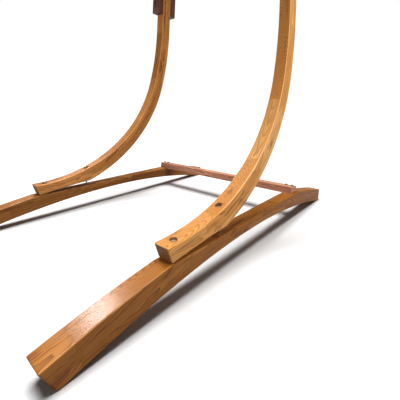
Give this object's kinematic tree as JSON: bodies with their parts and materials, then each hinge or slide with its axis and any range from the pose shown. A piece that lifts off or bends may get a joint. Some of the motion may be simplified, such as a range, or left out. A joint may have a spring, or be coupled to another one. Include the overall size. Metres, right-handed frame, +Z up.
{
  "type": "hammock stand",
  "caption": "Free-standing curved timber stand for a hanging hammock or seat: arched base beams, spliced C-shaped arms, crossbars, through bolts, hanging eyes and snap hooks.",
  "frame": {"origin": "on the floor, midway along the base and midway between the two side frames", "axes": "+X to the stand's right, +Y to its back, where the arms rise, +Z up"},
  "size_m": [1.184, 1.6672, 2.2452],
  "materials": {
    "timber": "oiled larch, satin",
    "splice_wood": "stained larch, satin",
    "crossbar_wood": "oiled larch, satin",
    "zinc": "bright zinc plated",
    "screws": "dark zinc plated",
    "gate_steel": "stainless"
  },
  "bodies": {
    "stand": {"base_beam_left": "timber", "base_beam_right": "timber", "lower_arm_left": "timber", "lower_arm_right": "timber", "upper_arm_left": "timber", "upper_arm_right": "timber", "splice_plate_front_left": "splice_wood", "splice_plate_front_right": "splice_wood", "splice_plate_rear_left": "splice_wood", "splice_plate_rear_right": "splice_wood", "rear_crossbar": "crossbar_wood", "top_crossbeam": "timber", "foot_bolts": "zinc", "foot_washers": "zinc", "foot_nuts": "zinc", "splice_bolts": "zinc", "splice_washers": "zinc", "splice_nuts": "zinc", "crossbar_screws": "screws", "crossbar_washers": "screws", "tip_bolts": "zinc", "tip_washers": "zinc", "tip_nuts": "zinc", "eye_bolt_left": "zinc", "eye_bolt_right": "zinc", "eye_washers": "zinc", "eye_nuts": "zinc"},
    "hook_left": {"hook_left": "zinc", "gate_pin_left": "gate_steel"},
    "gate_left": {"hook_gate_left": "gate_steel"},
    "hook_right": {"hook_right": "zinc", "gate_pin_right": "gate_steel"},
    "gate_right": {"hook_gate_right": "gate_steel"}
  },
  "joints": [
    {"name": "hook_swing_left", "type": "hinge", "parent": "stand", "child": "hook_left", "pos_m": [-0.35, -0.19992, 2.1225], "axis": [1, 0, 0], "range_deg": [-60, 60]},
    {"name": "gate_left", "type": "hinge", "parent": "hook_left", "child": "gate_left", "pos_m": [-0.332, -0.19992, 2.0425], "axis": [0, -1, 0], "range_deg": [0, 24], "stiffness_Nm_per_rad": 0.06, "springref_deg": -14.32},
    {"name": "hook_swing_right", "type": "hinge", "parent": "stand", "child": "hook_right", "pos_m": [0.35, -0.19992, 2.1225], "axis": [1, 0, 0], "range_deg": [-60, 60]},
    {"name": "gate_right", "type": "hinge", "parent": "hook_right", "child": "gate_right", "pos_m": [0.368, -0.19992, 2.0425], "axis": [0, -1, 0], "range_deg": [0, 24], "stiffness_Nm_per_rad": 0.06, "springref_deg": -14.32}
  ]
}
